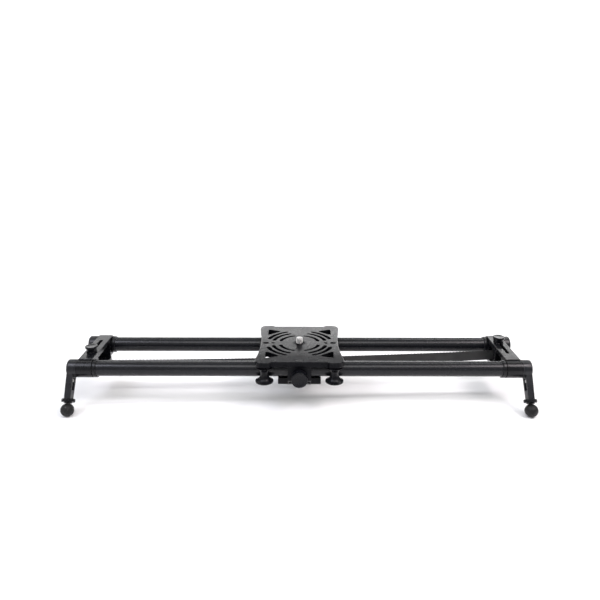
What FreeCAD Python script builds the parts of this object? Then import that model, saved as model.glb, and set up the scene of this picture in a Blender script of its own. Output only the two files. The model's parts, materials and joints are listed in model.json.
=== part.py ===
"""Two-rail camera slider: one carriage on four waisted rollers, folding legs, brake and belt.

Frame of the part: X runs along the rails, Y from front to back, Z up.
The pieces are drawn about a working origin midway between the two rail axes, at the middle
of their length. Each one is then lifted by RAIL_HEIGHT, so that Z = 0 is the floor under the
feet. All sizes are millimetres.
"""
import FreeCAD, Part
import math
import os

V = FreeCAD.Vector
OUT = "parts"

# ---- rails and end blocks ----
RAIL_Y = 45.0              # each rail axis from the middle plane
RAIL_R = 11.0
RAIL_WALL = 2.0
RAIL_END_X = 309.3         # rail end, inside the boss
FIT = 0.05                 # radial clearance of turned fits
BOSS_R = 13.0
BOSS_IN_X = 292.4
BOSS_OUT_X = 314.6
BAR_IN_X = 292.2
BAR_OUT_X = 312.5
BAR_HALF_Y = 46.0
BAR_TOP_Z = 15.0
CAVITY_TOP_Z = 8.0         # underside of the bar's top plate
CAVITY_HALF_Y = 28.0
CAVITY_OUT_X = 309.4
BRIDGE_TOP_Z = -16.0       # floor of the cavity, which carries the tripod threads
BRIDGE_LOW_Z = -22.0
BRIDGE_HALF_Y = 31.0
SLOT_X = 302.3             # knob slot in the bar's top
SLOT_HALF_LENGTH = 25.0
SLOT_R = 2.6
TRIPOD_LARGE_R = 4.76      # 3/8 inch thread, outer radius
TRIPOD_SMALL_R = 3.175     # 1/4 inch thread, outer radius
TRIPOD_SMALL_Y = 16.0
COLLAR_X = (287.0, 291.9)
COLLAR_R = 12.7
PLUG_LENGTH = 20.0
M6_R = 3.0
M5_R = 2.5

# ---- folding legs ----
LEG_SPLAY = 35.3           # degrees outward from straight down
HUB_IN_X = 314.9
HUB_OUT_X = 328.0
HUB_ROUND = 3.0
ARM_IN_X = 318.7
ARM_OUT_X = 327.7
ARM_TOP_HALF = 8.6         # half depth of the arm where it leaves the hub
ARM_LOW_HALF = 6.6
ARM_LOW_Z = -43.1          # arm's lower end, measured down the leg from the hub
WINDOW_HALF = 4.1
WINDOW_Z = (-31.5, -14.2)
STUD_R = 2.5
STUD_TOP_Z = -14.8
WHEEL_R = 9.1
WHEEL_Z = (-48.1, -43.4)
BALL_R = 9.3
BALL_Z = -58.8
LOCK_NUT_FLATS = 8.0
LOCK_NUT_Z = (-19.6, -15.6)
RAIL_HEIGHT = BALL_R - BALL_Z * math.cos(math.radians(LEG_SPLAY))
WASHER_THICK = 1.0
HEAD_POCKET_R = 5.8
HEAD_POCKET_X = 319.9      # bottom of the pivot bolt's pocket in the hub

# ---- carriage ----
PLATE_TOP_Z = 20.75
PLATE_LOW_Z = 12.7
PLATE_HALF_X = 61.7
PLATE_HALF_Y = 73.5
PLATE_MIDDLE_Y = 70.0      # straight stretch of the front and back edges, between the lobes
PLATE_STEP_X = (38.5, 42.0)   # where each of those edges steps out to its lobes
PLATE_WAIST_X = 57.0
PLATE_LOBE_Y = 57.0        # where the waist runs out into the corner lobes
PLATE_CORNER_R = 10.0
PLATE_STEP_R = 2.4
PLATE_BEVEL = 0.9
SCREW_HOLE_R = 4.9
# each curved slot: mean radius, start and end angle from the X axis, width at start and end
ARC_SLOTS = (
    (48.4, 21.5, 66.0, 6.2, 4.6),
    (39.5, 17.0, 69.0, 5.8, 4.4),
    (29.0, 18.0, 74.0, 5.4, 3.8),
)
SIDE_SLOTS = ((49.8, 9.0, 6.8), (38.9, 5.6, 4.8))   # centre X, length, width
POCKET = ((48.6, 31.0), (48.6, 55.8), (28.0, 48.4))
POCKET_ARC_R = 54.6
POCKET_ROUND = 2.2

ROLLER_X = 49.0
ROLLER_NECK_R = 5.55
ROLLER_RIM_R = 12.65
ROLLER_TOP_Z = 11.0
ROLLER_LOW_Z = -12.4
ROLLER_GAP = 0.05
ROLLER_Y = RAIL_Y + RAIL_R + ROLLER_GAP + ROLLER_NECK_R
BEARING_R = 6.5
BEARING_H = 4.0
AXLE_TOP_Z = 18.0
AXLE_HEAD_R = 4.5
AXLE_HEAD_H = 3.0

CAMERA_STUD_TOP_Z = 29.75
CAMERA_THREAD_LOW_Z = 21.05
CAMERA_NECK_R = 3.9
CAMERA_HEAD_R = 13.0
CAMERA_HEAD_Z = (4.4, 11.2)

# ---- brake ----
BRACKET_HALF_X = 16.4
BRACKET_FRONT_Y = -68.5
BRACKET_BACK_Y = -58.5
BAR_HALF_X = 30.4          # lower bar, under the front rail
BAR_FRONT_Y = -51.0
BAR_BACK_Y = -39.0
BAR_Z = (-22.2, -12.3)
PAD_R = 5.0
PAD_GAP = 0.8
SPINDLE_R = 2.95
BRAKE_Z = -1.6             # axis of the knob, spindle and plunger
BRAKE_KNOB_R = 11.2
BRAKE_KNOB_Y = (-81.5, -69.3)
BRACKET_SCREW_X = 12.2
BRACKET_SCREW_Y = -63.5

# ---- belt ----
BELT_THICK = 1.6
BELT_TOOTH = 0.9
BELT_PITCH = 5.0
BELT_TOP_Z = 1.5
BELT_HEIGHT = 15.0
BELT_SAG = 3.8
BELT_HALF_LENGTH = 307.0
ANCHOR_Y = 19.5
BELT_ANGLE = math.degrees(math.atan2(ANCHOR_Y, SLOT_X))
ANCHOR_IN = 297.0          # distances along the belt from the middle of the part
ANCHOR_OUT = 309.0
ANCHOR_HALF_W = 7.0
ANCHOR_Z = (-15.2, 7.6)
SLIT_HALF_W = 1.4
GRUB_R = 1.5
GRUB_Z = (-10.0, -3.0)

# ---- end knobs ----
END_CAP_R = 8.8
END_BODY_R = 7.5
END_CAP_Z = (20.9, 23.8)
END_BODY_LOW_Z = 15.7
END_WASHER_R = 6.0
END_STUD_LOW_Z = 3.2

CORNERS = {
    "front_left": (-1, -1),
    "front_right": (1, -1),
    "rear_left": (-1, 1),
    "rear_right": (1, 1),
}
SIDES = {"left": -1, "right": 1}


# ---- small helpers ----
def block(x, y, z):
    """A box from three (low, high) pairs."""
    return Part.makeBox(x[1] - x[0], y[1] - y[0], z[1] - z[0], V(x[0], y[0], z[0]))


def rod(radius, start, end):
    """A cylinder from one point to another."""
    axis = V(*end) - V(*start)
    return Part.makeCylinder(radius, axis.Length, V(*start), axis)


def hexagon(flats, start, end):
    """A hexagonal prism along X or Z, given its width across flats."""
    axis = V(*end) - V(*start)
    radius = flats / math.sqrt(3)
    along_x = abs(axis.x) > abs(axis.z)
    corners = []
    for step in range(6):
        a = math.radians(60 * step)
        across = V(0, math.cos(a), math.sin(a)) if along_x else V(math.cos(a), math.sin(a), 0)
        corners.append(V(*start) + across * radius)
    return Part.Face(Part.makePolygon(corners + corners[:1])).extrude(axis)


def edges_where(shape, test):
    """Edges whose two ends (or whole curve, for a circle) pass the test."""
    return [e for e in shape.Edges if all(test(v.Point) for v in e.Vertexes)]


def turned(points, centre, axis=V(0, 0, 1)):
    """A solid of revolution about Z through centre from (radius, z) points, joined by lines."""
    path = [V(r, 0, z) for r, z in points]
    solid = Part.Face(Part.makePolygon(path + path[:1])).revolve(V(0, 0, 0), V(0, 0, 1), 360)
    solid.Placement = FreeCAD.Placement(V(*centre), FreeCAD.Rotation(V(0, 0, 1), axis))
    return solid


def group(solids):
    return Part.makeCompound(solids)


def half_turn(shape):
    """The same piece at the other end of the slider: half a turn about Z."""
    copy = shape.copy()
    copy.rotate(V(0, 0, 0), V(0, 0, 1), 180)
    return copy


def save(name, shape):
    """Write one node, lifted from the working origin to stand on the floor."""
    lifted = shape.copy()
    lifted.translate(V(0, 0, RAIL_HEIGHT))
    lifted.exportStep(os.path.join(OUT, name + ".step"))


# ---- rails and end blocks ----
def rail(y):
    outer = rod(RAIL_R, (-RAIL_END_X, y, 0), (RAIL_END_X, y, 0))
    return outer.cut(rod(RAIL_R - RAIL_WALL, (-RAIL_END_X, y, 0), (RAIL_END_X, y, 0)))


def rail_plug(sx, y):
    """Threaded plug in a rail's end, which takes the leg's pivot bolt."""
    start = sx * (RAIL_END_X - PLUG_LENGTH)
    end = sx * RAIL_END_X
    body = rod(RAIL_R - RAIL_WALL - FIT, (start, y, 0), (end, y, 0))
    return body.cut(rod(M6_R + 0.02, (start, y, 0), (end, y, 0)))


def rail_collar(sx, y):
    """Stop ring beside the boss, with rounded shoulders."""
    low, high = COLLAR_X
    ring = rod(COLLAR_R, (sx * low, y, 0), (sx * high, y, 0))
    ring = ring.makeFillet(0.9, [e for e in ring.Edges if e.Length > 2 and len(e.Vertexes) == 1])
    return ring.cut(rod(RAIL_R + 0.02, (sx * low, y, 0), (sx * high, y, 0)))


def end_block():
    """Right-hand end block: two rail bosses, a bar between them and the slotted top plate."""
    bar = block((BAR_IN_X, BAR_OUT_X), (-BAR_HALF_Y, BAR_HALF_Y), (-BOSS_R, BAR_TOP_Z))
    top_edges = edges_where(bar, lambda p: abs(p.z - BAR_TOP_Z) < 0.01)
    bar = bar.makeChamfer(0.5, top_edges)
    foot = block((BAR_IN_X, BAR_OUT_X), (-BRIDGE_HALF_Y, BRIDGE_HALF_Y), (BRIDGE_LOW_Z, 0))
    foot = foot.makeChamfer(2.0, edges_where(foot, lambda p: abs(p.z - BRIDGE_LOW_Z) < 0.01))
    body = bar.fuse(foot)
    for y in (-RAIL_Y, RAIL_Y):
        body = body.fuse(rod(BOSS_R, (BOSS_IN_X, y, 0), (BOSS_OUT_X, y, 0)))
    body = body.removeSplitter()
    for y in (-RAIL_Y, RAIL_Y):
        body = body.cut(rod(RAIL_R + FIT, (BAR_IN_X - 1, y, 0), (RAIL_END_X, y, 0)))
        body = body.cut(rod(M6_R + FIT, (RAIL_END_X - 1, y, 0), (BOSS_OUT_X + 1, y, 0)))
    cavity_y = (-CAVITY_HALF_Y, CAVITY_HALF_Y)
    body = body.cut(block((BAR_IN_X - 1, CAVITY_OUT_X), cavity_y, (BRIDGE_TOP_Z, CAVITY_TOP_Z)))
    body = body.cut(slot_cutter())
    body = body.cut(rod(TRIPOD_LARGE_R, (SLOT_X, 0, BRIDGE_LOW_Z - 1), (SLOT_X, 0, BRIDGE_TOP_Z + 1)))
    for y in (-TRIPOD_SMALL_Y, TRIPOD_SMALL_Y):
        low = (SLOT_X, y, BRIDGE_LOW_Z - 1)
        body = body.cut(rod(TRIPOD_SMALL_R, low, (SLOT_X, y, BRIDGE_TOP_Z + 1)))
    return body


def slot_cutter():
    """Round-ended slot through the top plate, along Y."""
    reach = SLOT_HALF_LENGTH - SLOT_R
    z = (CAVITY_TOP_Z - 1, BAR_TOP_Z + 1)
    cutter = block((SLOT_X - SLOT_R, SLOT_X + SLOT_R), (-reach, reach), z)
    for y in (-reach, reach):
        cutter = cutter.fuse(rod(SLOT_R, (SLOT_X, y, z[0]), (SLOT_X, y, z[1])))
    return cutter


def pivot_bolt(sx, y):
    """Socket-head bolt through the hub and the boss wall into the rail plug."""
    seat = HEAD_POCKET_X + WASHER_THICK
    bolt = rod(M6_R, (sx * (RAIL_END_X - PLUG_LENGTH + 2), y, 0), (sx * seat, y, 0))
    bolt = bolt.fuse(rod(5.0, (sx * seat, y, 0), (sx * (seat + 5.2), y, 0)))
    return bolt.cut(hexagon(5.0, (sx * (seat + 2.4), y, 0), (sx * (seat + 5.3), y, 0)))


def pivot_washer(sx, y):
    seat = HEAD_POCKET_X
    ring = rod(5.6, (sx * (seat + FIT), y, 0), (sx * (seat + WASHER_THICK), y, 0))
    return ring.cut(rod(M6_R + 0.02, (sx * seat, y, 0), (sx * (seat + 2), y, 0)))


# ---- belt and its anchors ----
def along_belt(shape):
    """Turn a piece built along X onto the belt's slightly skewed line."""
    shape.rotate(V(0, 0, 0), V(0, 0, 1), BELT_ANGLE)
    return shape


def sagging_band(half_length, top_z, height, sag, half_depth):
    """A strip that hangs in a shallow arc between its two ends, as a thick sheet."""
    low_z = top_z - height
    ends = ((-half_length, top_z), (half_length, top_z), (half_length, low_z), (-half_length, low_z))
    a, b, c, d = [V(x, -half_depth, z) for x, z in ends]
    top = Part.Arc(a, V(0, -half_depth, top_z - sag), b).toShape()
    low = Part.Arc(c, V(0, -half_depth, low_z - sag), d).toShape()
    wire = Part.Wire([top, Part.makeLine(b, c), low, Part.makeLine(d, a)])
    return Part.Face(wire).extrude(V(0, 2 * half_depth, 0))


def timing_belt():
    """Toothed belt on edge between the anchors."""
    back = -BELT_THICK / 2
    root = BELT_THICK / 2 - BELT_TOOTH
    tip = BELT_THICK / 2
    points = [V(-BELT_HALF_LENGTH, back, -30), V(-BELT_HALF_LENGTH, root, -30)]
    count = int(2 * BELT_HALF_LENGTH // BELT_PITCH) - 1
    first = -(count - 1) / 2 * BELT_PITCH
    for tooth in range(count):
        x = first + tooth * BELT_PITCH
        for dx, y in ((-1.5, root), (-1.0, tip), (1.0, tip), (1.5, root)):
            points.append(V(x + dx, y, -30))
    points += [V(BELT_HALF_LENGTH, root, -30), V(BELT_HALF_LENGTH, back, -30)]
    profile = Part.Face(Part.makePolygon(points + points[:1])).extrude(V(0, 0, 40))
    band = sagging_band(BELT_HALF_LENGTH, BELT_TOP_Z, BELT_HEIGHT, BELT_SAG, 3)
    return along_belt(profile.common(band))


def belt_anchor():
    """Right-hand anchor: a block under the knob slot that grips the belt's end in a slit."""
    body = block((ANCHOR_IN, ANCHOR_OUT), (-ANCHOR_HALF_W, ANCHOR_HALF_W), ANCHOR_Z)
    body = body.makeChamfer(0.6, edges_where(body, lambda p: p.x < ANCHOR_IN + 0.01))
    slit_x = (ANCHOR_IN - 1, BELT_HALF_LENGTH + 0.3)
    slit_z = (ANCHOR_Z[0] - 1, BELT_TOP_Z + 0.4)
    body = body.cut(block(slit_x, (-SLIT_HALF_W, SLIT_HALF_W), slit_z))
    for z in GRUB_Z:
        body = body.cut(rod(GRUB_R + 0.02, (302.5, SLIT_HALF_W, z), (302.5, ANCHOR_HALF_W + 1, z)))
    body = along_belt(body)
    return body.cut(rod(M5_R + FIT, (SLOT_X, ANCHOR_Y, 2.6), (SLOT_X, ANCHOR_Y, 9)))


def grub_screw(z):
    """Grub screw that presses the belt's end across the anchor's slit."""
    screw = rod(GRUB_R, (302.5, SLIT_HALF_W - 0.4, z), (302.5, ANCHOR_HALF_W - 0.8, z))
    return along_belt(screw)


# ---- end knobs ----
def end_knob():
    """Right-hand clamp knob: a wide thin cap on a plain neck."""
    low, high = END_CAP_Z
    points = [
        (0, END_BODY_LOW_Z), (END_BODY_R - 0.4, END_BODY_LOW_Z), (END_BODY_R, END_BODY_LOW_Z + 0.4),
        (END_BODY_R, low - 0.2), (END_CAP_R - 0.3, low), (END_CAP_R, low + 0.3),
        (END_CAP_R, high - 0.5), (END_CAP_R - 0.5, high), (0, high),
    ]
    knob = turned(points, (SLOT_X, ANCHOR_Y, 0))
    return knob.cut(rod(M5_R + 0.02, (SLOT_X, ANCHOR_Y, 10), (SLOT_X, ANCHOR_Y, high - 1.6)))


def end_knob_stud():
    return rod(M5_R, (SLOT_X, ANCHOR_Y, END_STUD_LOW_Z), (SLOT_X, ANCHOR_Y, END_CAP_Z[1] - 1.8))


def end_knob_washer():
    ring = rod(END_WASHER_R, (SLOT_X, ANCHOR_Y, BAR_TOP_Z), (SLOT_X, ANCHOR_Y, BAR_TOP_Z + 0.6))
    return ring.cut(rod(M5_R + FIT, (SLOT_X, ANCHOR_Y, 14), (SLOT_X, ANCHOR_Y, 17)))


# ---- legs ----
def at_corner(shape, sx, sy):
    """Place a leg piece built hanging straight down at X > 0 onto one corner."""
    if sx < 0:
        shape = shape.mirror(V(0, 0, 0), V(1, 0, 0))
    shape.rotate(V(0, 0, 0), V(1, 0, 0), sy * LEG_SPLAY)
    shape.translate(V(0, sy * RAIL_Y, 0))
    return shape


def leg_arm():
    """Hub and arm in one piece, with the window that the foot stud runs in."""
    hub = rod(BOSS_R, (HUB_IN_X, 0, 0), (HUB_OUT_X, 0, 0))
    rim = [e for e in hub.Edges if e.BoundBox.XMin > HUB_OUT_X - 0.01]
    hub = hub.makeFillet(HUB_ROUND, rim)
    outline = [(-ARM_TOP_HALF, -3), (ARM_TOP_HALF, -3), (ARM_LOW_HALF, ARM_LOW_Z), (-ARM_LOW_HALF, ARM_LOW_Z)]
    path = [V(ARM_IN_X, y, z) for y, z in outline]
    arm = Part.Face(Part.makePolygon(path + path[:1])).extrude(V(ARM_OUT_X - ARM_IN_X, 0, 0))
    long_edges = [e for e in arm.Edges if e.BoundBox.ZLength > 30]
    arm = arm.makeFillet(1.2, long_edges)
    body = hub.fuse(arm).removeSplitter()
    body = body.cut(window_cutter())
    mid_x = (ARM_IN_X + ARM_OUT_X) / 2
    body = body.cut(rod(STUD_R + FIT, (mid_x, 0, ARM_LOW_Z - 1), (mid_x, 0, WINDOW_Z[0] + 1)))
    body = body.cut(rod(M6_R + FIT, (HUB_IN_X - 1, 0, 0), (HUB_OUT_X, 0, 0)))
    return body.cut(rod(HEAD_POCKET_R, (HEAD_POCKET_X, 0, 0), (HUB_OUT_X + 1, 0, 0)))


def window_cutter():
    """Round-ended window through the arm."""
    low, high = WINDOW_Z
    x = (ARM_IN_X - 1, HUB_OUT_X + 1)
    cutter = block(x, (-WINDOW_HALF, WINDOW_HALF), (low, high))
    upright = [e for e in cutter.Edges if e.BoundBox.XLength > 5]
    return cutter.makeFillet(1.5, upright)


def foot_wheel():
    """Knurled adjusting wheel under the arm, with fine grooves round its rim."""
    mid_x = (ARM_IN_X + ARM_OUT_X) / 2
    low, high = WHEEL_Z
    points = [
        (0, low), (WHEEL_R - 0.6, low), (WHEEL_R, low + 0.6),
        (WHEEL_R, high - 0.6), (WHEEL_R - 0.6, high), (0, high),
    ]
    wheel = turned(points, (mid_x, 0, 0))
    grooves = []
    for step in range(24):
        a = math.radians(15 * step)
        x = mid_x + (WHEEL_R + 0.25) * math.cos(a)
        y = (WHEEL_R + 0.25) * math.sin(a)
        grooves.append(rod(0.6, (x, y, low - 1), (x, y, high + 1)))
    wheel = wheel.cut(grooves)
    return wheel.cut(rod(STUD_R + FIT, (mid_x, 0, low - 1), (mid_x, 0, high + 1)))


def foot_stud():
    mid_x = (ARM_IN_X + ARM_OUT_X) / 2
    return rod(STUD_R, (mid_x, 0, BALL_Z), (mid_x, 0, STUD_TOP_Z))


def foot_stop_nut():
    """Nut locked on the stud's top: it slides in the window and keeps the stud from turning."""
    mid_x = (ARM_IN_X + ARM_OUT_X) / 2
    low, high = LOCK_NUT_Z
    nut = hexagon(LOCK_NUT_FLATS, (mid_x, 0, low), (mid_x, 0, high))
    return nut.cut(rod(STUD_R + 0.02, (mid_x, 0, low - 1), (mid_x, 0, high + 1)))


def foot_ball():
    """Rubber ball foot on the stud's lower end."""
    mid_x = (ARM_IN_X + ARM_OUT_X) / 2
    ball = Part.makeSphere(BALL_R, V(mid_x, 0, BALL_Z))
    return ball.cut(rod(STUD_R + 0.02, (mid_x, 0, BALL_Z - 0.02), (mid_x, 0, BALL_Z + 12)))


# ---- carriage ----
def polar(radius, degrees):
    a = math.radians(degrees)
    return V(radius * math.cos(a), radius * math.sin(a), PLATE_LOW_Z - 1)


def arc_slot(radius, start, end, start_width, end_width):
    """Cutter for a curved slot about the plate's centre, narrowing from start to end."""
    middle = (start + end) / 2
    half = (start_width / 2, (start_width + end_width) / 4, end_width / 2)
    outer = [polar(radius + h, a) for h, a in zip(half, (start, middle, end))]
    inner = [polar(radius - h, a) for h, a in zip(half, (start, middle, end))]
    tips = [polar(radius, start - math.degrees(half[0] / radius))]
    tips.append(polar(radius, end + math.degrees(half[2] / radius)))
    edges = [
        Part.Arc(outer[0], outer[1], outer[2]).toShape(),
        Part.Arc(outer[2], tips[1], inner[2]).toShape(),
        Part.Arc(inner[2], inner[1], inner[0]).toShape(),
        Part.Arc(inner[0], tips[0], outer[0]).toShape(),
    ]
    return Part.Face(Part.Wire(edges)).extrude(V(0, 0, PLATE_TOP_Z - PLATE_LOW_Z + 2))


def side_slot(x, length, width):
    """Cutter for a short round-ended slot on the X axis of the plate."""
    reach = (length - width) / 2
    z = (PLATE_LOW_Z - 1, PLATE_TOP_Z + 1)
    cutter = block((x - reach, x + reach), (-width / 2, width / 2), z)
    for cx in (x - reach, x + reach):
        cutter = cutter.fuse(rod(width / 2, (cx, 0, z[0]), (cx, 0, z[1])))
    return cutter


def corner_pocket():
    """Cutter for the three-cornered opening beside the outer curved slot."""
    a, b, c = [V(x, y, PLATE_LOW_Z - 1) for x, y in POCKET]
    edges = [
        Part.makeLine(a, b),
        Part.makeLine(b, c),
        Part.Arc(c, polar(POCKET_ARC_R, 48), a).toShape(),
    ]
    cutter = Part.Face(Part.Wire(edges)).extrude(V(0, 0, PLATE_TOP_Z - PLATE_LOW_Z + 2))
    upright = [e for e in cutter.Edges if e.BoundBox.ZLength > 5]
    return cutter.makeFillet(POCKET_ROUND, upright)


def upright_edges(body, wanted):
    """Edges along Z whose middle point passes the test."""
    return [e for e in body.Edges if e.BoundBox.ZLength > 5 and wanted(e.CenterOfMass)]


def plate_recess(side):
    """Cutter that sets the front (-1) or back (1) edge in between its lobes."""
    inner, outer = PLATE_STEP_X
    slope = (outer - inner) / (PLATE_HALF_Y - PLATE_MIDDLE_Y)
    past_y = PLATE_HALF_Y + 1
    wide = outer + slope
    outline = [(-wide, past_y), (-inner, PLATE_MIDDLE_Y), (inner, PLATE_MIDDLE_Y), (wide, past_y)]
    points = [V(x, side * y, PLATE_LOW_Z - 1) for x, y in outline]
    face = Part.Face(Part.makePolygon(points + points[:1]))
    return face.extrude(V(0, 0, PLATE_TOP_Z - PLATE_LOW_Z + 2))


def plate_blank():
    """Waisted plate with rounded corner lobes and bevelled edges."""
    z = (PLATE_LOW_Z, PLATE_TOP_Z)
    body = block((-PLATE_HALF_X, PLATE_HALF_X), (-PLATE_HALF_Y, PLATE_HALF_Y), z)
    body = body.makeFillet(PLATE_CORNER_R, [e for e in body.Edges if e.BoundBox.ZLength > 5])
    depth = PLATE_HALF_X - PLATE_WAIST_X
    waist_r = (PLATE_LOBE_Y ** 2 + depth ** 2) / (2 * depth)
    for side in (-1, 1):
        x = side * (PLATE_WAIST_X + waist_r)
        body = body.cut(rod(waist_r, (x, 0, z[0] - 1), (x, 0, z[1] + 1)))
    joins = upright_edges(body, lambda p: abs(abs(p.y) - PLATE_LOBE_Y) < 0.5)
    body = body.makeFillet(20.0, joins)
    body = body.cut([plate_recess(-1), plate_recess(1)])
    steps = upright_edges(body, lambda p: min(abs(abs(p.x) - x) for x in PLATE_STEP_X) < 0.01)
    body = body.makeFillet(PLATE_STEP_R, steps)
    rims = [e for e in body.Edges if e.BoundBox.ZLength < 0.01]
    return body.makeChamfer(PLATE_BEVEL, rims)


def carriage_plate():
    cutters = [rod(SCREW_HOLE_R, (0, 0, PLATE_LOW_Z - 1), (0, 0, PLATE_TOP_Z + 1))]
    quadrant = [arc_slot(*slot) for slot in ARC_SLOTS] + [corner_pocket()]
    for cutter in quadrant:
        flipped = cutter.mirror(V(0, 0, 0), V(1, 0, 0))
        for half in (cutter, flipped):
            cutters += [half, half.mirror(V(0, 0, 0), V(0, 1, 0))]
    for x, length, width in SIDE_SLOTS:
        cutters += [side_slot(x, length, width), side_slot(-x, length, width)]
    for sx, sy in CORNERS.values():
        x, y = sx * ROLLER_X, sy * ROLLER_Y
        cutters.append(rod(M5_R + 0.02, (x, y, PLATE_LOW_Z - 1), (x, y, AXLE_TOP_Z + 0.3)))
    for x in (-BRACKET_SCREW_X, BRACKET_SCREW_X):
        low = (x, BRACKET_SCREW_Y, PLATE_LOW_Z - 1)
        cutters.append(rod(2.02, low, (x, BRACKET_SCREW_Y, 17.5)))
    return plate_blank().cut(cutters)


def roller(x, y):
    """Waisted roller that wraps the rail's outer side, bored for two bearings."""
    gap_r = RAIL_R + ROLLER_GAP
    reach = ROLLER_NECK_R + gap_r
    rim_z = math.sqrt(gap_r ** 2 - (reach - ROLLER_RIM_R) ** 2)
    groove = Part.Arc(V(ROLLER_RIM_R, 0, -rim_z), V(ROLLER_NECK_R, 0, 0), V(ROLLER_RIM_R, 0, rim_z))
    seat = BEARING_R + 0.03
    half = []
    for end_z, side in ((ROLLER_TOP_Z, 1), (ROLLER_LOW_Z, -1)):
        shelf = end_z - side * BEARING_H
        corners = ((3.2, shelf), (seat, shelf), (seat, end_z), (ROLLER_RIM_R - 0.5, end_z))
        rim = V(ROLLER_RIM_R, 0, end_z - side * 0.5)
        half.append([V(r, 0, z) for r, z in corners] + [rim, V(ROLLER_RIM_R, 0, side * rim_z)])
    upper, lower = half
    walls = [Part.makeLine(p, q) for p, q in zip(upper, upper[1:])]
    walls += [Part.makeLine(p, q) for p, q in zip(lower, lower[1:])]
    bore = Part.makeLine(lower[0], upper[0])
    wire = Part.Wire(Part.__sortEdges__([groove.toShape(), bore] + walls))
    body = Part.Face(wire).revolve(V(0, 0, 0), V(0, 0, 1), 360)
    body.translate(V(x, y, 0))
    return body


def bearing(x, y, low):
    """Sealed ball bearing, simplified to a ring."""
    ring = rod(BEARING_R, (x, y, low), (x, y, low + BEARING_H))
    ring = ring.makeChamfer(0.3, [e for e in ring.Edges if len(e.Vertexes) == 1 and e.Length > 20])
    return ring.cut(rod(M5_R + 0.02, (x, y, low - 1), (x, y, low + BEARING_H + 1)))


def roller_axle(x, y):
    """Shoulder bolt from below, threaded into the plate."""
    under = ROLLER_LOW_Z - 0.3
    bolt = rod(M5_R, (x, y, under), (x, y, AXLE_TOP_Z))
    bolt = bolt.fuse(rod(AXLE_HEAD_R, (x, y, under - AXLE_HEAD_H), (x, y, under)))
    return bolt.cut(hexagon(4.0, (x, y, under - AXLE_HEAD_H), (x, y, under - 1.0)))


def roller_spacer(x, y):
    ring = rod(4.0, (x, y, ROLLER_TOP_Z), (x, y, PLATE_LOW_Z))
    return ring.cut(rod(M5_R + 0.02, (x, y, 10), (x, y, 13)))


def camera_screw():
    """Captive 3/8 inch screw: a broad knurled head, a thin neck through the plate, then thread."""
    low, high = CAMERA_HEAD_Z
    r = TRIPOD_LARGE_R
    points = [
        (0, low), (CAMERA_HEAD_R - 0.8, low), (CAMERA_HEAD_R, low + 0.8), (CAMERA_HEAD_R, high - 0.8),
        (CAMERA_HEAD_R - 0.8, high), (CAMERA_NECK_R, high), (CAMERA_NECK_R, CAMERA_THREAD_LOW_Z),
        (r, CAMERA_THREAD_LOW_Z), (r, CAMERA_STUD_TOP_Z - 0.8), (r - 0.8, CAMERA_STUD_TOP_Z),
        (0, CAMERA_STUD_TOP_Z),
    ]
    screw = turned(points, (0, 0, 0))
    grooves = []
    for step in range(30):
        a = math.radians(12 * step)
        x, y = (CAMERA_HEAD_R + 0.2) * math.cos(a), (CAMERA_HEAD_R + 0.2) * math.sin(a)
        grooves.append(rod(0.6, (x, y, low - 1), (x, y, high + 1)))
    return screw.cut(grooves).cut(hexagon(8.0, (0, 0, low), (0, 0, low + 3.5)))


def camera_screw_washer():
    low, high = CAMERA_HEAD_Z[1], PLATE_LOW_Z
    ring = rod(CAMERA_HEAD_R - 1.5, (0, 0, low), (0, 0, high))
    return ring.cut(rod(SCREW_HOLE_R, (0, 0, low - 1), (0, 0, high + 1)))


# ---- brake ----
def brake_bracket():
    """Tongue in front of the rail, turning under it into a long lower bar."""
    low, high = BAR_Z
    outline = [
        (BRACKET_FRONT_Y, PLATE_LOW_Z), (BRACKET_BACK_Y, PLATE_LOW_Z), (BRACKET_BACK_Y, -9.5),
        (-55.5, high), (BAR_BACK_Y, high), (BAR_BACK_Y, low), (BAR_FRONT_Y, low),
        (-54.0, -20.2), (-64.0, -14.0), (BRACKET_FRONT_Y, -8.0),
    ]
    path = [V(-BRACKET_HALF_X, y, z) for y, z in outline]
    body = Part.Face(Part.makePolygon(path + path[:1])).extrude(V(2 * BRACKET_HALF_X, 0, 0))
    bar = block((-BAR_HALF_X, BAR_HALF_X), (BAR_FRONT_Y, BAR_BACK_Y), BAR_Z)
    bar = bar.makeChamfer(1.2, edges_where(bar, lambda p: p.z < low + 0.01))
    body = body.fuse(bar).removeSplitter()
    body = body.cut(rod(PAD_R + FIT, (0, -65.2, BRAKE_Z), (0, BRACKET_BACK_Y + 1, BRAKE_Z)))
    body = body.cut(rod(M6_R + FIT, (0, BRACKET_FRONT_Y - 1, BRAKE_Z), (0, -65.0, BRAKE_Z)))
    for x in (-BRACKET_SCREW_X, BRACKET_SCREW_X):
        y = BRACKET_SCREW_Y
        body = body.cut(rod(2.05, (x, y, -16), (x, y, 13)))
        body = body.cut(rod(3.7, (x, y, -16), (x, y, -4)))
    return body


def bracket_screw(x):
    y = BRACKET_SCREW_Y
    screw = rod(2.0, (x, y, -4.2), (x, y, 17.2)).fuse(rod(3.5, (x, y, -8), (x, y, -4)))
    return screw.cut(hexagon(3.0, (x, y, -8.1), (x, y, -6)))


def brake_plunger():
    """Sliding plunger with the thread that the brake spindle turns in."""
    body = rod(PAD_R, (0, -64.0, BRAKE_Z), (0, -58.4, BRAKE_Z))
    return body.cut(rod(SPINDLE_R + 0.1, (0, -65, BRAKE_Z), (0, -59.6, BRAKE_Z)))


def brake_pad():
    """Nylon facing, hollowed to the rail's radius."""
    body = rod(PAD_R - 0.4, (0, -58.4, BRAKE_Z), (0, -50, BRAKE_Z))
    y = -RAIL_Y - PAD_GAP
    return body.cut(rod(RAIL_R, (-20, y, 0), (20, y, 0)))


def brake_spindle():
    return rod(SPINDLE_R, (0, -76, BRAKE_Z), (0, -60.8, BRAKE_Z))


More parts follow.
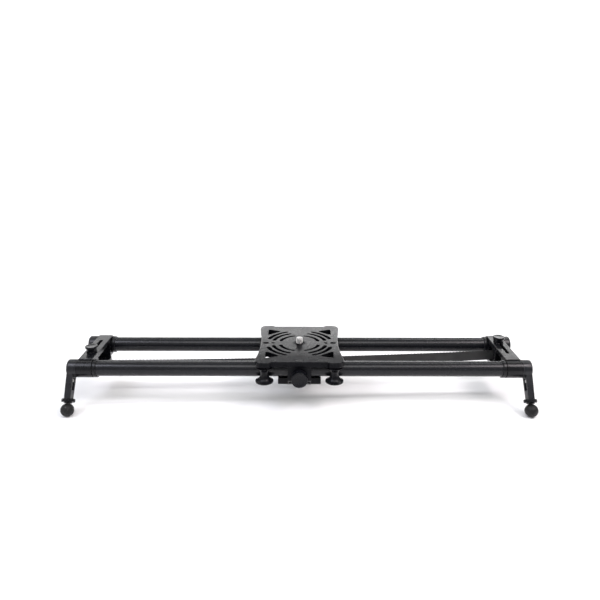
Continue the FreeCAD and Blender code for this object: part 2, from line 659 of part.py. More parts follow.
def brake_knob():
    """Plain round knob with bevelled edges."""
    front, back = BRAKE_KNOB_Y
    length = back - front
    r = BRAKE_KNOB_R
    points = [(0, 0), (r - 0.7, 0), (r, 0.7), (r, length - 1.2), (r - 1.2, length), (0, length)]
    knob = turned(points, (0, front, BRAKE_Z), V(0, 1, 0))
    return knob.cut(rod(SPINDLE_R + 0.02, (0, -76.05, BRAKE_Z), (0, back + 1, BRAKE_Z)))


# ---- writing the nodes ----
def write_frame():
    corner_list = list(CORNERS.values())
    save("front_rail", rail(-RAIL_Y))
    save("rear_rail", rail(RAIL_Y))
    save("rail_end_plugs", group([rail_plug(sx, sy * RAIL_Y) for sx, sy in corner_list]))
    save("rail_collars", group([rail_collar(sx, sy * RAIL_Y) for sx, sy in corner_list]))
    save("leg_pivot_bolts", group([pivot_bolt(sx, sy * RAIL_Y) for sx, sy in corner_list]))
    save("leg_pivot_washers", group([pivot_washer(sx, sy * RAIL_Y) for sx, sy in corner_list]))
    save("timing_belt", timing_belt())
    grubs = [grub_screw(z) for z in GRUB_Z]
    save("belt_anchor_screws", group(grubs + [half_turn(g) for g in grubs]))
    washer = end_knob_washer()
    save("end_knob_washers", group([washer, half_turn(washer)]))
    for side, sx in SIDES.items():
        pieces = {
            "end_block": end_block(),
            "belt_anchor": belt_anchor(),
            "end_knob": end_knob(),
            "end_knob_stud": end_knob_stud(),
        }
        for name, shape in pieces.items():
            save(side + "_" + name, shape if sx > 0 else half_turn(shape))


def write_legs():
    makers = {
        "leg_arm": leg_arm,
        "foot_wheel": foot_wheel,
        "foot_stud": foot_stud,
        "foot_stop_nut": foot_stop_nut,
        "foot_ball": foot_ball,
    }
    for corner, (sx, sy) in CORNERS.items():
        for name, maker in makers.items():
            save(name + "_" + corner, at_corner(maker(), sx, sy))


def write_carriage():
    save("carriage_plate", carriage_plate())
    save("camera_screw", camera_screw())
    save("camera_screw_washer", camera_screw_washer())
    places = {name: (sx * ROLLER_X, sy * ROLLER_Y) for name, (sx, sy) in CORNERS.items()}
    for corner, (x, y) in places.items():
        save("roller_" + corner, roller(x, y))
    lows = (ROLLER_LOW_Z, ROLLER_TOP_Z - BEARING_H)
    save("roller_bearings", group([bearing(x, y, low) for x, y in places.values() for low in lows]))
    save("roller_axles", group([roller_axle(x, y) for x, y in places.values()]))
    save("roller_spacers", group([roller_spacer(x, y) for x, y in places.values()]))


def write_brake():
    save("brake_bracket", brake_bracket())
    save("bracket_screws", group([bracket_screw(x) for x in (-BRACKET_SCREW_X, BRACKET_SCREW_X)]))
    save("brake_plunger", brake_plunger())
    save("brake_pad", brake_pad())
    save("brake_spindle", brake_spindle())
    save("brake_knob", brake_knob())


os.makedirs(OUT, exist_ok=True)
write_frame()
write_legs()
write_carriage()
write_brake()
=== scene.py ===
"""Looks for the two-rail camera slider: materials, finely shaped pieces, studio and camera.

Metres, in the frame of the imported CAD: X along the rails, Y from front to back, Z up, floor at 0.
"""
import json
import math

import bmesh
import bpy
from mathutils import Matrix, Vector


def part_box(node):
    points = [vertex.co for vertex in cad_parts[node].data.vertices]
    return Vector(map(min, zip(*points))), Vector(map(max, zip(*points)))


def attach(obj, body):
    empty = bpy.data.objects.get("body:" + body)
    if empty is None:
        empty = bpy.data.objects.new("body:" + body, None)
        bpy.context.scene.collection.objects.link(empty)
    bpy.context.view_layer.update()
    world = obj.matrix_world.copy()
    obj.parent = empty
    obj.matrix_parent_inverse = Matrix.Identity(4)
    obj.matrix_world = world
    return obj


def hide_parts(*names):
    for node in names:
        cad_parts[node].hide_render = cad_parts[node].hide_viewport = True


MM = 0.001
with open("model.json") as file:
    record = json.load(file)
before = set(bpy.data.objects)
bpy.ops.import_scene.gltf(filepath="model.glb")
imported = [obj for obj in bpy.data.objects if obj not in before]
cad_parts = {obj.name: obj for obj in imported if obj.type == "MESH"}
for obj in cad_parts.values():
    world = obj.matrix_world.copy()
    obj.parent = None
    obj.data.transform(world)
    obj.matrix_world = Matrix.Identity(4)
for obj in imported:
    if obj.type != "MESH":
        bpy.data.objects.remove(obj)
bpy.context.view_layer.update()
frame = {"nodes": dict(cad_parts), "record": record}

CORNERS = {
    "front_left": (-1, -1),
    "front_right": (1, -1),
    "rear_left": (-1, 1),
    "rear_right": (1, 1),
}
LEG_SPLAY = math.radians(35.3)     # legs lean outward from straight down


def centre_of(node):
    low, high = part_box(node)
    return (low + high) / 2


RAIL_Z = centre_of("front_rail").z


# ---------------------------------------------------------------- node graphs
class Graph:
    """One material's node tree, with short calls that add and link nodes."""

    def __init__(self, name):
        self.material = bpy.data.materials.new(name)
        self.material.use_nodes = True
        self.tree = self.material.node_tree
        self.tree.nodes.clear()
        self.shader = self.tree.nodes.new("ShaderNodeBsdfPrincipled")
        output = self.tree.nodes.new("ShaderNodeOutputMaterial")
        self.tree.links.new(self.shader.outputs["BSDF"], output.inputs["Surface"])

    def add(self, kind, inputs=(), **settings):
        """A new node. Inputs are (name or index, value or socket) pairs."""
        node = self.tree.nodes.new("ShaderNode" + kind)
        for name, value in settings.items():
            setattr(node, name, value)
        for key, value in inputs:
            self.set(node, key, value)
        return node

    def set(self, node, key, value):
        if isinstance(value, bpy.types.NodeSocket):
            self.tree.links.new(value, node.inputs[key])
        else:
            node.inputs[key].default_value = value

    def math(self, operation, a, b, clamp=False):
        node = self.add("Math", ((0, a), (1, b)), operation=operation, use_clamp=clamp)
        return node.outputs[0]

    def coordinates(self, stretch=(1, 1, 1)):
        """Object coordinates, scaled along each axis."""
        source = self.add("TexCoord").outputs["Object"]
        if stretch == (1, 1, 1):
            return source
        return self.add("Mapping", (("Vector", source), ("Scale", stretch))).outputs[0]

    def noise(self, scale, detail=2.0, stretch=(1, 1, 1)):
        inputs = (("Vector", self.coordinates(stretch)), ("Scale", scale), ("Detail", detail))
        return self.add("TexNoise", inputs).outputs["Fac"]

    def cells(self, scale):
        inputs = (("Vector", self.coordinates()), ("Scale", scale))
        return self.add("TexVoronoi", inputs).outputs["Distance"]

    def spread(self, value, low, high, to_low=0.0, to_high=1.0):
        """Map low..high onto to_low..to_high, clamped."""
        inputs = ((0, value), (1, low), (2, high), (3, to_low), (4, to_high))
        return self.add("MapRange", inputs, clamp=True).outputs[0]

    def blend(self, factor, a, b):
        """Mix two colours."""
        return self.add("Mix", ((0, factor), (6, a), (7, b)), data_type="RGBA").outputs[2]

    def mix(self, factor, a, b):
        """Mix two plain values."""
        return self.add("Mix", ((0, factor), (2, a), (3, b)), data_type="FLOAT").outputs[0]

    def upward(self):
        """The height part of the surface normal: 1 on a flat top."""
        normal = self.add("NewGeometry").outputs["Normal"]
        return self.add("SeparateXYZ", ((0, normal),)).outputs["Z"]

    def rounded_normal(self, radius):
        return self.add("Bevel", (("Radius", radius),), samples=4).outputs[0]

    def openness(self, reach):
        """1 on open faces, towards 0 inside slots and pockets."""
        return self.add("AmbientOcclusion", (("Distance", reach),), samples=4).outputs["AO"]

    def turned_away(self):
        """0 on faces seen straight on, 1 on faces seen edge on."""
        return self.add("LayerWeight", (("Blend", 0.5),)).outputs["Facing"]

    def edge_mask(self, radius, gain):
        """1 on convex and concave edges, 0 on open faces."""
        true_normal = self.add("NewGeometry").outputs["Normal"]
        inputs = ((0, self.rounded_normal(radius)), (1, true_normal))
        along = self.add("VectorMath", inputs, operation="DOT_PRODUCT").outputs["Value"]
        away = self.math("SUBTRACT", 1.0, along)
        return self.math("MULTIPLY", away, gain, clamp=True)

    def bump(self, height, distance, strength, normal=None):
        inputs = [("Height", height), ("Distance", distance), ("Strength", strength)]
        if normal is not None:
            inputs.append(("Normal", normal))
        return self.add("Bump", inputs).outputs[0]


def grey(value, tint=(1.0, 1.0, 1.0)):
    return (value * tint[0], value * tint[1], value * tint[2], 1.0)


# ---------------------------------------------------------------- materials
COOL = (0.88, 0.95, 1.28)          # tint of black dye and plastic
WARM = (1.06, 1.00, 0.96)          # tint of bare metal and dust


def anodised(name, dark, light, rough, grain, grain_depth, facing, streak=0.0, wander=1.0,
             painted_sheen=None):
    """Black anodised aluminium: fine blasted grain, cloudy dye, drawn lines along X, rubbed edges.

    facing is how much of the reflection stays on faces seen straight on. The sheen pair is a painted
    reflection level on a flat top (where it is looked down on, where it is seen edge on); with it,
    faces turned down and the walls of slots and pockets get painted shade: less reflection.
    """
    g = Graph(name)
    cloud = g.noise(18.0, 3.0)
    fine = g.noise(grain, 2.0)
    speck = g.spread(g.noise(grain * 2.3, 1.0), 0.55, 0.75)
    shade = g.math("ADD", g.math("MULTIPLY", cloud, 0.6), g.math("MULTIPLY", fine, 0.4))
    colour = g.blend(g.spread(shade, 0.3, 0.7), grey(dark, COOL), grey(light, COOL))
    colour = g.blend(g.math("MULTIPLY", speck, 0.25), colour, grey(light * 2.2, COOL))
    patches = g.spread(g.noise(160.0, 4.0), 0.42, 0.66)
    rubbed = g.math("MULTIPLY", g.edge_mask(0.35 * MM, 3.0), patches)
    colour = g.blend(g.math("MULTIPLY", rubbed, 0.55), colour, grey(0.16, WARM))
    g.set(g.shader, "Base Color", colour)
    handling = g.noise(60.0, 4.0)
    roughness = g.spread(handling, 0.3, 0.7, rough - 0.05 * wander, rough + 0.06 * wander)
    height = fine
    if streak:
        lines = g.noise(900.0, 2.0, (0.012, 1.0, 1.0))
        roughness = g.math("ADD", roughness, g.spread(lines, 0.3, 0.7, -0.02, 0.025))
        height = g.math("ADD", g.math("MULTIPLY", lines, streak), height)
    g.set(g.shader, "Roughness", roughness)
    g.set(g.shader, "Normal", g.bump(height, grain_depth, 0.6, g.rounded_normal(0.3 * MM)))
    g.shader.inputs["Specular IOR Level"].default_value = 0.6
    # painted reflection and painted shade: the reflection level follows the viewing angle on tops, and
    # is cut on faces turned down and inside slots and pockets
    if painted_sheen:
        top = g.spread(g.turned_away(), 0.60, 0.66, painted_sheen[0], painted_sheen[1])
        sides = g.spread(g.upward(), -0.8, -0.1, 0.02, 0.35)
        level = g.mix(g.spread(g.upward(), 0.6, 0.9), sides, top)
        level = g.math("MULTIPLY", level, g.spread(g.openness(8 * MM), 0.75, 0.97))
        g.set(g.shader, "Specular IOR Level", level)
    g.shader.inputs["Specular Tint"].default_value = grey(facing)
    return g.material


def moulded(name, dark, light, rough, grain, grain_depth, facing, level=0.6):
    """Moulded black plastic with a fine spark-eroded skin and dulled edges."""
    g = Graph(name)
    cloud = g.noise(35.0, 3.0)
    colour = g.blend(g.spread(cloud, 0.3, 0.7), grey(dark, COOL), grey(light, COOL))
    worn = g.math("MULTIPLY", g.edge_mask(0.4 * MM, 2.5), g.spread(g.noise(220.0, 3.0), 0.4, 0.7))
    colour = g.blend(g.math("MULTIPLY", worn, 0.4), colour, grey(light * 3.0, COOL))
    g.set(g.shader, "Base Color", colour)
    smudge = g.noise(90.0, 4.0)
    g.set(g.shader, "Roughness", g.spread(smudge, 0.3, 0.7, rough - 0.05, rough + 0.07))
    skin = g.bump(g.cells(grain), grain_depth, 0.5, g.rounded_normal(0.35 * MM))
    g.set(g.shader, "Normal", skin)
    g.shader.inputs["Specular IOR Level"].default_value = level
    g.shader.inputs["Specular Tint"].default_value = grey(facing)
    return g.material


def rubber(name, dark, light, rough, grain_depth, dust):
    """Soft black rubber with fine pores and a little dust."""
    g = Graph(name)
    pores = g.noise(1400.0, 2.0)
    cloud = g.noise(70.0, 4.0)
    colour = g.blend(g.spread(cloud, 0.3, 0.7), grey(dark), grey(light))
    grains = g.spread(g.noise(420.0, 3.0), 0.60, 0.72)
    specks = g.math("MULTIPLY", grains, g.spread(cloud, 0.45, 0.65))
    colour = g.blend(g.math("MULTIPLY", specks, dust), colour, grey(0.30, WARM))
    g.set(g.shader, "Base Color", colour)
    g.set(g.shader, "Roughness", g.spread(cloud, 0.3, 0.7, rough - 0.06, rough + 0.06))
    g.set(g.shader, "Normal", g.bump(pores, grain_depth, 0.5, g.rounded_normal(0.3 * MM)))
    g.shader.inputs["Specular IOR Level"].default_value = 0.5
    g.shader.inputs["Specular Tint"].default_value = grey(0.45)
    return g.material


def steel(name, dark, light, rough, metal=1.0):
    """Plated or blackened steel: fine turning marks, small stains, bright edges."""
    g = Graph(name)
    marks = g.noise(1500.0)
    stains = g.noise(120.0, 5.0)
    colour = g.blend(g.spread(stains, 0.35, 0.7), grey(light), grey(dark, WARM))
    edges = g.edge_mask(0.25 * MM, 3.0)
    colour = g.blend(g.math("MULTIPLY", edges, 0.5), colour, grey(min(1.0, light * 1.3)))
    g.set(g.shader, "Base Color", colour)
    wander = g.math("ADD", g.math("MULTIPLY", marks, 0.5), g.math("MULTIPLY", stains, 0.5))
    g.set(g.shader, "Roughness", g.spread(wander, 0.35, 0.65, rough - 0.08, rough + 0.10))
    g.set(g.shader, "Normal", g.bump(marks, 0.02 * MM, 0.4, g.rounded_normal(0.2 * MM)))
    g.shader.inputs["Metallic"].default_value = metal
    return g.material


def nylon(name):
    """Off-white nylon with a waxy skin."""
    g = Graph(name)
    cloud = g.noise(140.0, 4.0)
    fresh, aged = grey(0.78, (1.0, 0.98, 0.92)), grey(0.66, (1.0, 0.96, 0.88))
    g.set(g.shader, "Base Color", g.blend(cloud, fresh, aged))
    g.set(g.shader, "Roughness", g.spread(cloud, 0.3, 0.7, 0.34, 0.48))
    skin = g.bump(g.noise(900.0), 0.02 * MM, 0.4, g.rounded_normal(0.3 * MM))
    g.set(g.shader, "Normal", skin)
    g.shader.inputs["Subsurface Weight"].default_value = 0.05
    return g.material


def belt_rubber(name):
    """Black belt rubber with the ribs of its cords running along X."""
    g = Graph(name)
    ribs = g.noise(1300.0, 1.0, (0.01, 0.2, 1.0))
    cloud = g.noise(50.0, 4.0)
    colour = g.blend(g.spread(cloud, 0.3, 0.7), grey(0.010), grey(0.026))
    g.set(g.shader, "Base Color", colour)
    g.set(g.shader, "Roughness", g.spread(cloud, 0.3, 0.7, 0.50, 0.66))
    g.set(g.shader, "Normal", g.bump(ribs, 0.06 * MM, 0.6))
    g.shader.inputs["Specular IOR Level"].default_value = 0.4
    return g.material


materials = {
    "rail_anodised": anodised(
        "rail_anodised", 0.004, 0.007, 0.26, 1100.0, 0.010 * MM, facing=0.52, streak=0.8, wander=0.5),
    "block_anodised": anodised(
        "block_anodised", 0.002, 0.005, 0.27, 1500.0, 0.014 * MM, facing=0.44),
    "plate_anodised": anodised(
        "plate_anodised", 0.002, 0.005, 0.28, 1500.0, 0.022 * MM, facing=0.20, painted_sheen=(0.06, 0.90)),
    "leg_anodised": anodised(
        "leg_anodised", 0.004, 0.009, 0.30, 1500.0, 0.016 * MM, facing=0.60),
    "knob_plastic": moulded(
        "knob_plastic", 0.003, 0.006, 0.27, 1600.0, 0.012 * MM, facing=0.30),
    "roller_plastic": moulded(
        "roller_plastic", 0.003, 0.005, 0.24, 1200.0, 0.004 * MM, facing=0.22),
    "nylon_white": nylon("nylon_white"),
    "foot_rubber": rubber("foot_rubber", 0.005, 0.010, 0.50, 0.05 * MM, 0.20),
    "belt_rubber": belt_rubber("belt_rubber"),
    "zinc_steel": steel("zinc_steel", 0.42, 0.62, 0.30),
    "black_steel": steel("black_steel", 0.018, 0.035, 0.42, metal=0.7),
    "bearing_steel": steel("bearing_steel", 0.55, 0.72, 0.18),
}
# two skins that only some pieces of a slot wear
cap_skin = moulded(
    "cap_plastic", 0.003, 0.006, 0.22, 1600.0, 0.006 * MM, facing=0.3, level=0.45)
bracket_skin = anodised(
    "bracket_anodised", 0.002, 0.005, 0.34, 1500.0, 0.018 * MM, facing=0.16)


def packed_slot(node):
    """The record's material slot of a CAD node, which its imported material is named after."""
    return frame["nodes"][node].data.materials[0].name.split(".")[0]


for node, cad_object in frame["nodes"].items():
    slot = packed_slot(node)
    for material_slot in cad_object.material_slots:
        material_slot.material = bracket_skin if node == "brake_bracket" else materials[slot]


# ---------------------------------------------------------------- turned pieces
# Profiles are in millimetres, as (radius, height). Heights are measured from the rail axes for the
# pieces on the carriage and the blocks, and from the leg's pivot for the pieces on a leg.
def filleted(corners, steps=5):
    """Round the corners of a profile. Each corner is (radius, height, fillet)."""
    points = []
    for i, (r, z, fillet) in enumerate(corners):
        here = Vector((r, z))
        before = Vector(corners[i - 1][:2]) - here
        after = Vector(corners[(i + 1) % len(corners)][:2]) - here
        if fillet == 0:
            points.append((r, z))
            continue
        reach = fillet / math.tan(before.angle(after) / 2)
        first = here + before.normalized() * reach
        last = here + after.normalized() * reach
        for step in range(steps + 1):
            t = step / steps
            q = first * (1 - t) ** 2 + here * 2 * t * (1 - t) + last * t ** 2
            points.append((q.x, q.y))
    return points


def hexagonal(apothem, angle):
    """Distance from the middle of a hexagon to its side, flats square to angle 0."""
    turn = (angle + math.pi / 6) % (math.pi / 3) - math.pi / 6
    return apothem / math.cos(turn)


def knurled(radius, angle, count, depth):
    """Radius of a rim with narrow grooves."""
    groove = 0.5 + 0.5 * math.cos(count * angle)
    return radius - depth * groove ** 4


def threaded(radius, height, angle, pitch, depth):
    """Radius of a right-hand thread with flattened crests and roots."""
    phase = (height / pitch - angle / math.tau) % 1.0
    flank = min(1.0, max(0.0, 1.35 * abs(2 * phase - 1) - 0.17))
    return radius - depth * (1 - flank)


def turned_mesh(name, rows, place, segments, ring):
    """A turned mesh from (radius, height, shape) rows; shape(r, z, angle) varies the radius round
    the axis. A ring's last row joins its first; any other mesh closes at its poles."""
    vertices, loops = [], []
    for row in rows:
        r, z = row[0], row[1]
        shape = row[2] if len(row) > 2 else None
        if r == 0:
            loops.append([len(vertices)] * segments)
            vertices.append((0.0, 0.0, z * MM))
            continue
        loops.append(list(range(len(vertices), len(vertices) + segments)))
        for step in range(segments):
            angle = math.tau * step / segments
            radius = shape(r, z, angle) if shape else r
            vertices.append((radius * math.cos(angle) * MM, radius * math.sin(angle) * MM, z * MM))
    pairs = list(zip(loops, loops[1:])) + ([(loops[-1], loops[0])] if ring else [])
    faces = []
    for low, high in pairs:
        for step in range(segments):
            after = (step + 1) % segments
            corners = (low[step], low[after], high[after], high[step])
            faces.append(tuple(dict.fromkeys(corners)))
    mesh = bpy.data.meshes.new(name)
    mesh.from_pydata(vertices, [], faces)
    mesh.transform(place)
    tidy = bmesh.new()
    tidy.from_mesh(mesh)
    bmesh.ops.recalc_face_normals(tidy, faces=tidy.faces)
    tidy.to_mesh(mesh)
    tidy.free()
    mesh.polygons.foreach_set("use_smooth", [True] * len(mesh.polygons))
    mesh.set_sharp_from_angle(angle=math.radians(38))
    return mesh


def spun(name, rows, place, body, node, segments=96, ring=False, skin=None):
    """Puts a turned piece on its body in place of a CAD node, in the node's slot and material."""
    mesh = turned_mesh(name, rows, place, segments, ring)
    piece = bpy.data.objects.new(name, mesh)
    bpy.context.scene.collection.objects.link(piece)
    slot = packed_slot(node)
    mesh.materials.append(skin or materials[slot])
    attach(piece, body)
    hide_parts(node)


def joint_row(name):
    return next(j for j in frame["record"]["behaviour"]["joints"] if j["name"] == name)


def upright(x, y):
    """Places a piece drawn about the rail axes' height at one (x, y), in metres."""
    return Matrix.Translation((x, y, RAIL_Z))


def down_leg(corner):
    """Places a piece drawn straight under the hub: its -Z runs down the leg."""
    sx, sy = CORNERS[corner]
    pivot = joint_row("leg_fold_" + corner)["pos_m"]
    x = centre_of("foot_stud_" + corner).x
    return Matrix.Translation((x, pivot[1], pivot[2])) @ Matrix.Rotation(sy * LEG_SPLAY, 4, "X")


# camera screw: knurled head with a hexagon socket, thin neck, 3/8 inch thread
SCREW_HEAD_R = 13.0
SCREW_HEAD_Z = (4.4, 11.2)
SCREW_SOCKET_R = 4.0
SCREW_SOCKET_TOP_Z = 7.9
SCREW_NECK_R = 3.9
SCREW_THREAD_R = 4.76
SCREW_THREAD_Z = (21.05, 29.75)
SCREW_PITCH = 25.4 / 16


def knurl_rim(r, z, angle):
    return knurled(r, angle, 60, 0.45)


def socket_wall(r, z, angle):
    return hexagonal(r, angle)


def camera_thread(r, z, angle):
    return threaded(r, z, angle, SCREW_PITCH, 0.95)


def camera_screw_rows():
    low, high = SCREW_HEAD_Z
    socket = [
        (0, SCREW_SOCKET_TOP_Z), (SCREW_SOCKET_R, SCREW_SOCKET_TOP_Z, socket_wall),
        (SCREW_SOCKET_R, low + 0.3, socket_wall), (4.9, low),
    ]
    rim = [(SCREW_HEAD_R - 0.3, low + 0.3), (SCREW_HEAD_R, low + 0.8)]
    rim += [(SCREW_HEAD_R, high - 0.8), (SCREW_HEAD_R - 0.3, high - 0.3)]
    rows = socket + [(SCREW_HEAD_R - 1, low)]
    rows += [(r, z, knurl_rim) for r, z in rim]
    start, top = SCREW_THREAD_Z
    rows += [(SCREW_HEAD_R - 1, high), (SCREW_NECK_R, high), (SCREW_NECK_R, start - 0.45)]
    count = 60
    for step in range(count + 1):
        z = start + (top - start) * step / count
        lead_in = SCREW_NECK_R + (z - start) * 1.6
        point = SCREW_THREAD_R - (z - (top - 0.9)) * 0.9
        rows.append((min(SCREW_THREAD_R, lead_in, point), z, camera_thread))
    return rows + [(3.3, top), (0, top)]


spun("camera_screw_cut", camera_screw_rows(), upright(0.0, 0.0), "camera_screw", "camera_screw", 120)


# feet: threaded stud, ribbed wheel, stop nut and ball
STUD_R = 2.5
STUD_PITCH = 0.8
STUD_Z = (-57.0, -14.8)
BALL_R = 9.2
BALL_Z = -58.8
NUT_APOTHEM = 4.0
NUT_Z = (-19.6, -15.6)


def stud_thread(r, z, angle):
    return threaded(r, z, angle, STUD_PITCH, 0.42)


def stud_rows():
    low, high = STUD_Z
    root, step = 2.0, 0.1
    rows = [(0, low), (root, low)]
    for i in range(round((high - low) / step) + 1):
        z = low + i * step
        rows.append((min(STUD_R, root + (high - z) * 0.8), z, stud_thread))
    return rows + [(1.6, high), (0, high)]


def wheel_rim(r, z, angle):
    return knurled(r, angle, 24, 0.7)


# a ribbed rim on a small boss that reaches down towards the ball
WHEEL_ROWS = [
    (2.6, -49.7), (5.0, -49.7), (5.5, -49.3), (5.6, -48.2), (8.0, -48.1), (8.6, -47.9, wheel_rim),
    (9.1, -47.4, wheel_rim), (9.1, -44.1, wheel_rim), (8.6, -43.6, wheel_rim), (8.0, -43.4),
    (2.6, -43.4),
]


def ball_rows():
    """A ball with a fine mould line round its middle and a small flat where the stud goes in."""
    line_height, line_spread = 0.10, 2.2          # the spread is in degrees of latitude
    mouth_r = 3.1
    rows = [(0, BALL_Z - BALL_R)]
    for step in range(1, 72):
        latitude = -90 + 2.5 * step
        a = math.radians(latitude)
        radius = BALL_R + line_height * math.exp(-(latitude / line_spread) ** 2)
        r = radius * math.cos(a)
        z = BALL_Z + radius * math.sin(a)
        if r < mouth_r and z > BALL_Z:
            break
        rows.append((r, z))
    bore_r = STUD_R + 0.05
    rows += [(mouth_r, BALL_Z + 8.6), (bore_r, BALL_Z + 8.5)]
    return rows + [(bore_r, BALL_Z + 2.0), (0, BALL_Z + 2.0)]


def nut_side(r, z, angle):
    """Six flats with corners along X; the row's radius trims the corners to a cone."""
    return min(r, hexagonal(NUT_APOTHEM, angle + math.pi / 6))


def nut_rows():
    """Hexagon nut with chamfered corners and a countersunk bore."""
    low, high = NUT_Z
    bore_r = STUD_R + 0.05
    trims = [(3.86, 0.0), (4.06, 0.14), (4.24, 0.26), (4.42, 0.38), (4.61, 0.50)]
    rows = [(bore_r, low + 0.35), (2.9, low)]
    rows += [(r, low + inset, nut_side) for r, inset in trims]
    rows += [(r, high - inset, nut_side) for r, inset in reversed(trims)]
    return rows + [(2.9, high), (bore_r, high - 0.35)]


for corner in CORNERS:
    place = down_leg(corner)
    foot, wheel = "foot_" + corner, "wheel_" + corner
    spun("nut_" + corner, nut_rows(), place, foot, "foot_stop_nut_" + corner, ring=True)
    spun("stud_" + corner, stud_rows(), place, foot, "foot_stud_" + corner, 40)
    spun(wheel, WHEEL_ROWS, place, wheel, "foot_wheel_" + corner, 192, ring=True)
    spun("ball_" + corner, ball_rows(), place, foot, "foot_ball_" + corner)


# rollers
ROLLER_FLANGE_R = 12.65
ROLLER_SEAT_R = 6.55               # a bearing sits in each end
ROLLER_BORE_R = 3.2
ROLLER_Z = (-12.4, 11.0)
RAIL_GROOVE_R = 11.05
RAIL_REACH = 16.6                  # from the roller's axis to the rail's


def roller_rows():
    """Waisted roller: a groove of the rail's radius, rounded rims and two bearing seats."""
    low, high = ROLLER_Z
    upper = [(ROLLER_SEAT_R, high, 0), (ROLLER_FLANGE_R, high, 0.45), (ROLLER_FLANGE_R, high - 0.8, 0)]
    lower = [(ROLLER_FLANGE_R, low + 2, 0), (ROLLER_FLANGE_R, low, 0.6), (ROLLER_SEAT_R, low, 0)]
    rows = [(ROLLER_SEAT_R, high - 4), (ROLLER_SEAT_R, high)] + filleted(upper)[1:-1]
    for step in range(37):
        a = math.radians(69.0 - 138.0 * step / 36)
        rows.append((RAIL_REACH - RAIL_GROOVE_R * math.cos(a), RAIL_GROOVE_R * math.sin(a)))
    rows += filleted(lower, 6)[1:]
    return rows + [(ROLLER_SEAT_R, low + 4), (ROLLER_BORE_R, low + 4), (ROLLER_BORE_R, high - 4)]


for corner in CORNERS:
    x, y, z = joint_row("roller_spin_" + corner)["pos_m"]
    roller = "roller_" + corner
    spun("roller_cut_" + corner, roller_rows(), upright(x, y), roller, roller, 128, ring=True)


# knobs
END_KNOB_Z = (15.7, 23.8)
END_KNOB_NECK_R = 7.5
END_KNOB_CAP_R = 8.8
BRAKE_KNOB_R = 11.2
BRAKE_KNOB_DEPTH = 12.2


def end_knob_rows():
    """Wide cap with a softly rounded top on a plain neck."""
    low, top = END_KNOB_Z
    corners = [
        (0, low, 0), (END_KNOB_NECK_R, low, 0.4), (END_KNOB_NECK_R, low + 4.9, 0.25),
        (END_KNOB_CAP_R, low + 5.4, 0.25), (END_KNOB_CAP_R, top, 0.9), (END_KNOB_CAP_R - 1.8, top, 0),
    ]
    dish = top - 0.08
    return filleted(corners) + [(6.6, dish), (0, dish)]


for side in ("left", "right"):
    middle = centre_of(side + "_end_knob")
    place, body = upright(middle.x, middle.y), side + "_knob"
    spun(body + "_turned", end_knob_rows(), place, body, side + "_end_knob", skin=cap_skin)


def brake_knob_rows():
    """Round knob: a flat face with a fine turned step, and softly rounded edges."""
    face = [(0, 0.12, 0), (8.6, 0.12, 0), (8.8, 0.0, 0)]
    rim = [(BRAKE_KNOB_R, 0.0, 0.8), (BRAKE_KNOB_R, BRAKE_KNOB_DEPTH, 1.4)]
    back = [(7.0, BRAKE_KNOB_DEPTH, 0), (3.0, BRAKE_KNOB_DEPTH, 0)]
    return filleted(face + rim + back) + [(3.0, 6.0), (0, 6.0)]


knob_low, knob_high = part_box("brake_knob")
knob_face = Matrix.Translation((0.0, knob_low.y, (knob_low.z + knob_high.z) / 2))
knob_place = knob_face @ Matrix.Rotation(-math.pi / 2, 4, "X")
spun("brake_knob_turned", brake_knob_rows(), knob_place, "brake_knob", "brake_knob", 128)


# ---------------------------------------------------------------- studio
def area_light(name, location, target, size, power, colour=(1, 1, 1)):
    data = bpy.data.lights.new(name, "AREA")
    data.shape = "RECTANGLE"
    data.size, data.size_y = size
    data.energy = power
    data.color = colour
    light = bpy.data.objects.new(name, data)
    bpy.context.scene.collection.objects.link(light)
    light.location = location
    aim = Vector(target) - Vector(location)
    light.rotation_mode = "QUATERNION"
    light.rotation_quaternion = aim.to_track_quat("-Z", "Y")


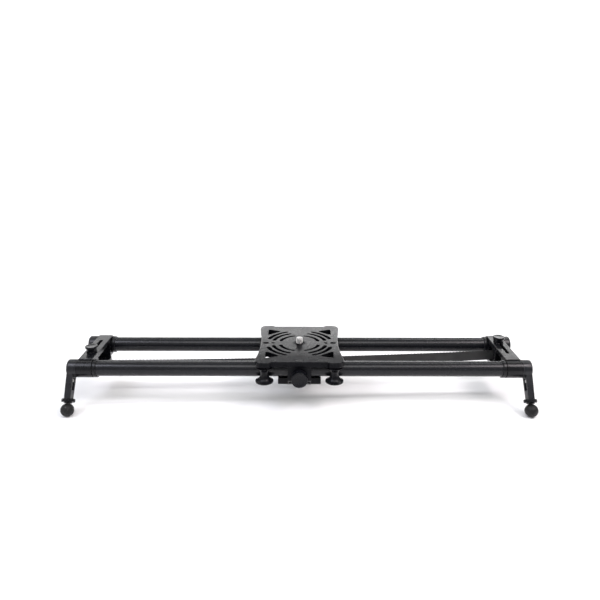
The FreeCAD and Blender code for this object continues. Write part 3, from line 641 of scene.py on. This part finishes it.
def floor_sheet(half_width, front, back, height, bend):
    """A pale sweep: a flat floor that curves up behind the object."""
    profile = [(front, 0.0), (back - bend, 0.0)]
    for step in range(1, 13):
        a = math.radians(90 * step / 12)
        profile.append((back - bend + bend * math.sin(a), bend - bend * math.cos(a)))
    profile.append((back, height))
    mesh = bpy.data.meshes.new("floor")
    vertices = [(x, y, z) for y, z in profile for x in (-half_width, half_width)]
    faces = [(2 * i, 2 * i + 1, 2 * i + 3, 2 * i + 2) for i in range(len(profile) - 1)]
    mesh.from_pydata(vertices, [], faces)
    mesh.polygons.foreach_set("use_smooth", [True] * len(faces))
    floor = bpy.data.objects.new("floor", mesh)
    bpy.context.scene.collection.objects.link(floor)
    g = Graph("floor_paper")
    tone = g.spread(g.noise(3.0, 3.0), 0.3, 0.7)
    g.set(g.shader, "Base Color", g.blend(tone, grey(0.90), grey(0.93)))
    g.shader.inputs["Roughness"].default_value = 0.9
    g.shader.inputs["Specular IOR Level"].default_value = 0.2
    mesh.materials.append(g.material)


floor_sheet(half_width=6.0, front=-3.0, back=3.0, height=1.5, bend=1.0)

world = bpy.data.worlds.new("studio")
world.use_nodes = True
bpy.context.scene.world = world
background = world.node_tree.nodes["Background"]
background.inputs["Color"].default_value = (1.0, 1.0, 1.0, 1.0)
background.inputs["Strength"].default_value = 0.50

# name, place, target, size, power and colour; the backdrop lights shine on the sweep behind
TABLE = (0.0, 0.0, 0.06)
area_light("softbox_left", (-1.05, -0.62, 1.50), TABLE, (0.9, 0.50), 11.0, (0.93, 0.95, 1.09))
area_light("softbox_middle", (0.0, -0.90, 1.36), TABLE, (1.1, 0.62), 9.0)
area_light("softbox_right", (1.05, -0.62, 1.50), TABLE, (0.9, 0.50), 16.5, (1.06, 0.97, 1.0))
area_light("backdrop_left", (-1.4, 1.1, 2.2), (-1.4, 3.0, 0.9), (2.2, 0.6), 54.0)
area_light("backdrop_right", (1.4, 1.1, 2.2), (1.4, 3.0, 0.9), (2.2, 0.6), 118.0)
area_light("side_fill", (-2.4, -1.6, 0.7), TABLE, (1.2, 1.2), 6.0)

# the camera stands in front of the carriage and looks a little down
CAMERA_AWAY = 0.7973
CAMERA_ABOVE_RAILS = 0.3472
CAMERA_DOWN = math.radians(18.04)
CAMERA_ROLL = math.radians(0.085)

camera_data = bpy.data.cameras.new("camera")
camera_data.sensor_width = 36.0
camera_data.lens = 34.70
camera_data.shift_x = 0.0008
camera_data.shift_y = 0.0003
camera_data.clip_start = 0.02
camera_data.clip_end = 50.0
camera = bpy.data.objects.new("camera", camera_data)
bpy.context.scene.collection.objects.link(camera)
camera.location = (0.0, -CAMERA_AWAY, CAMERA_ABOVE_RAILS + RAIL_Z)
tilt = Matrix.Rotation(math.pi / 2 - CAMERA_DOWN, 4, "X")
roll = Matrix.Rotation(CAMERA_ROLL, 4, "Z")
camera.rotation_euler = (tilt @ roll).to_euler()
bpy.context.scene.camera = camera

bpy.context.scene.view_settings.view_transform = "Standard"
